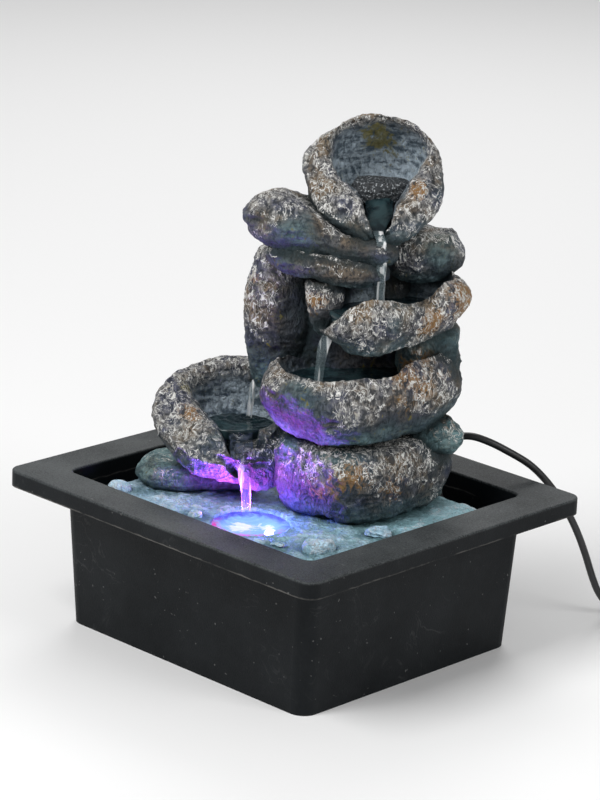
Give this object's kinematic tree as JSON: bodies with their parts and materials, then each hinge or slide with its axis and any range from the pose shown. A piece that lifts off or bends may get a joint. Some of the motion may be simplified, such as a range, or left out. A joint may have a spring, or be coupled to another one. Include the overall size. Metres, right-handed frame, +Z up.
{
  "type": "tabletop water fountain",
  "caption": "Tabletop water fountain: a square basin with a cascade of tilted rock bowls, a lit pool and a small pump below that feeds the top bowl.",
  "frame": {"origin": "middle of the basin's footprint, on the table", "axes": "+Z up; X along the basin's longer side; -Y is the front, the side nearer the lit pool; the cord leaves over the rim at +Y"},
  "size_m": [0.2653, 0.3043, 0.2555],
  "materials": {
    "basin_plastic": "moulded matt",
    "deck_stone": "cast resin, painted matt",
    "pebble_stone": "cast resin, painted matt",
    "rock_stone": "cast resin, painted matt with dry-brushed highlights",
    "hose_plastic": "clear soft tube",
    "foam": "open foam",
    "seal_rubber": "matt",
    "lamp_plastic": "satin",
    "board": "coated board",
    "lamp_chip": "glossy",
    "lamp_lens": "clear",
    "pump_plastic": "moulded satin",
    "core_steel": "bare",
    "copper": "enamelled wire",
    "potting": "cast resin",
    "magnet": "sintered",
    "impeller_plastic": "moulded",
    "shaft_steel": "ground",
    "slider_plastic": "moulded satin",
    "cup_rubber": "matt",
    "cord_sheath": "satin",
    "tie_plastic": "matt",
    "plug_plastic": "moulded satin",
    "plug_steel": "plated",
    "tongue_plastic": "moulded"
  },
  "bodies": {
    "base": {"basin": "basin_plastic", "pump_case": "pump_plastic", "stator_core": "core_steel", "stator_coils": "copper", "pump_potting": "potting", "control_board": "board", "shaft_bushes": "seal_rubber", "pump_shaft": "shaft_steel", "pump_cover": "pump_plastic", "suction_cups": "cup_rubber", "cord_gland": "cord_sheath", "power_cord": "cord_sheath", "cord_coil": "cord_sheath", "cord_tie": "tie_plastic", "usb_overmould": "plug_plastic", "usb_shell": "plug_steel", "usb_tongue": "tongue_plastic"},
    "rock_insert": {"deck": "deck_stone", "pebbles": "pebble_stone", "column": "rock_stone", "base_stone": "rock_stone", "middle_bowl": "rock_stone", "side_stone": "rock_stone", "upper_bowl": "rock_stone", "ledge_stone": "rock_stone", "flat_stone": "rock_stone", "lower_bowl": "rock_stone", "pillar_stone": "rock_stone", "wedge_stone": "rock_stone", "right_slab": "rock_stone", "left_slab": "rock_stone", "lower_slab": "rock_stone", "top_bowl": "rock_stone", "water_hose": "hose_plastic", "diffuser_sponge": "foam", "led_seal": "seal_rubber", "led_housing": "lamp_plastic", "led_board": "board", "led_chips": "lamp_chip", "led_lens": "lamp_lens", "led_plug": "lamp_plastic", "led_lead": "cord_sheath"},
    "pump_rotor": {"rotor_magnet": "magnet", "impeller": "impeller_plastic"},
    "flow_shutter": {"flow_slider": "slider_plastic"}
  },
  "joints": [
    {"name": "rock_lift", "type": "slide", "parent": "base", "child": "rock_insert", "axis": [0, 0, 1], "range_m": [0, 0.11]},
    {"name": "impeller_spin", "type": "hinge", "parent": "base", "child": "pump_rotor", "pos_m": [0.0148, 0.0318, 0.028], "axis": [0, 1, 0], "continuous": true},
    {"name": "flow_slide", "type": "slide", "parent": "base", "child": "flow_shutter", "axis": [1, 0, 0], "range_m": [0, 0.009]}
  ]
}
